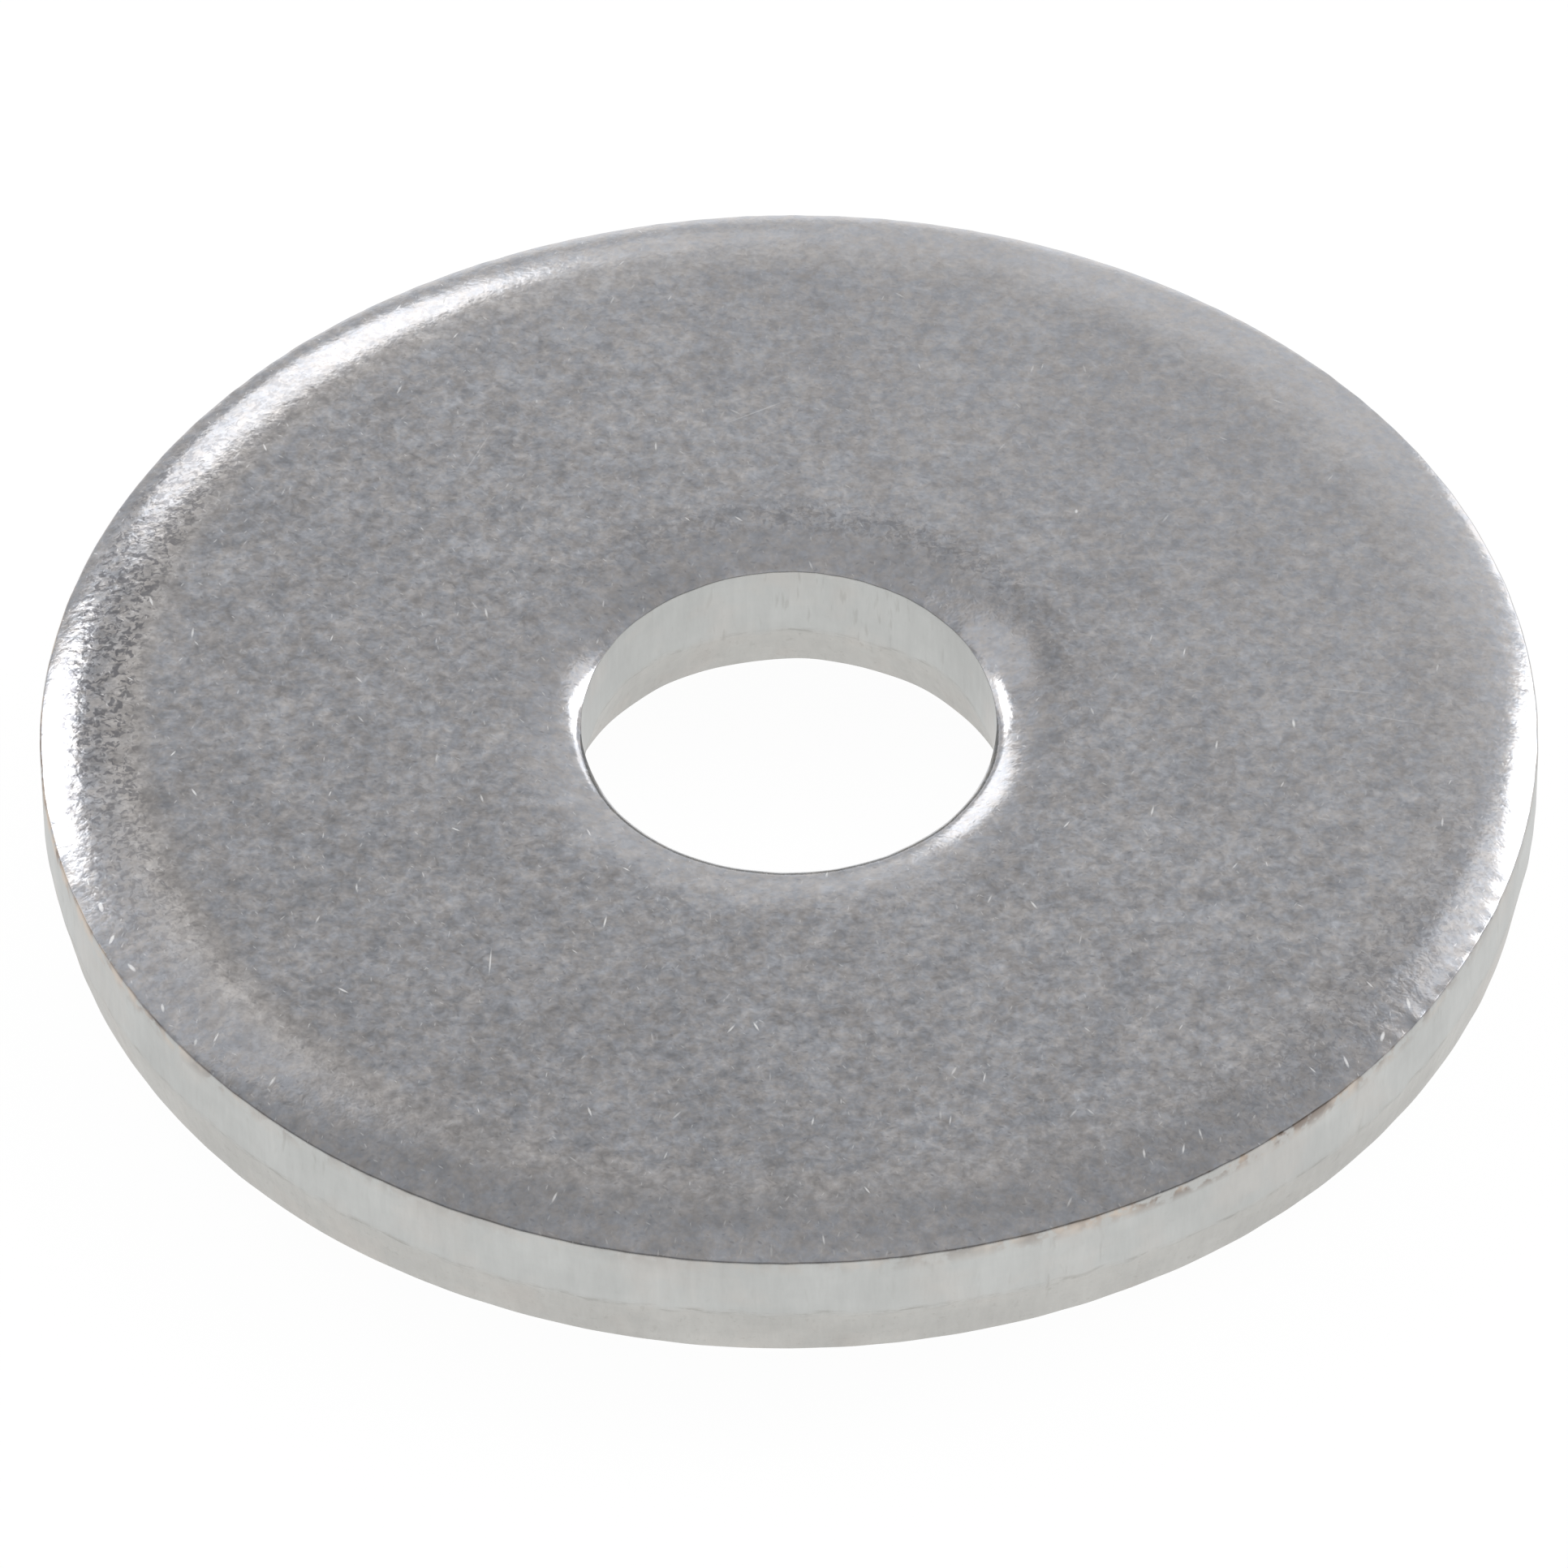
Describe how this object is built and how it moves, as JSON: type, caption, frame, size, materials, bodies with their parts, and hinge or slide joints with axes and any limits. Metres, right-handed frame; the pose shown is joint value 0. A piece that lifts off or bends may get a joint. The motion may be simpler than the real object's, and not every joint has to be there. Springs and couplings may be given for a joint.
{
  "type": "flat washer",
  "caption": "Thick round flat washer of large outer diameter with a small central bolt hole, die-rolled edges on its upper face and sheared walls.",
  "frame": {"origin": "centre of the bolt hole on the lower face, which lies on the work", "axes": "+Z along the bolt axis, from the face on the work up to the die-roll face that the bolt head or nut sits on; X and Y are any two radii, because the washer is round"},
  "size_m": [0.03, 0.03, 0.003],
  "materials": {
    "zinc_plated_steel": "satin"
  },
  "bodies": {
    "root": {"washer": "zinc_plated_steel"}
  },
  "joints": []
}
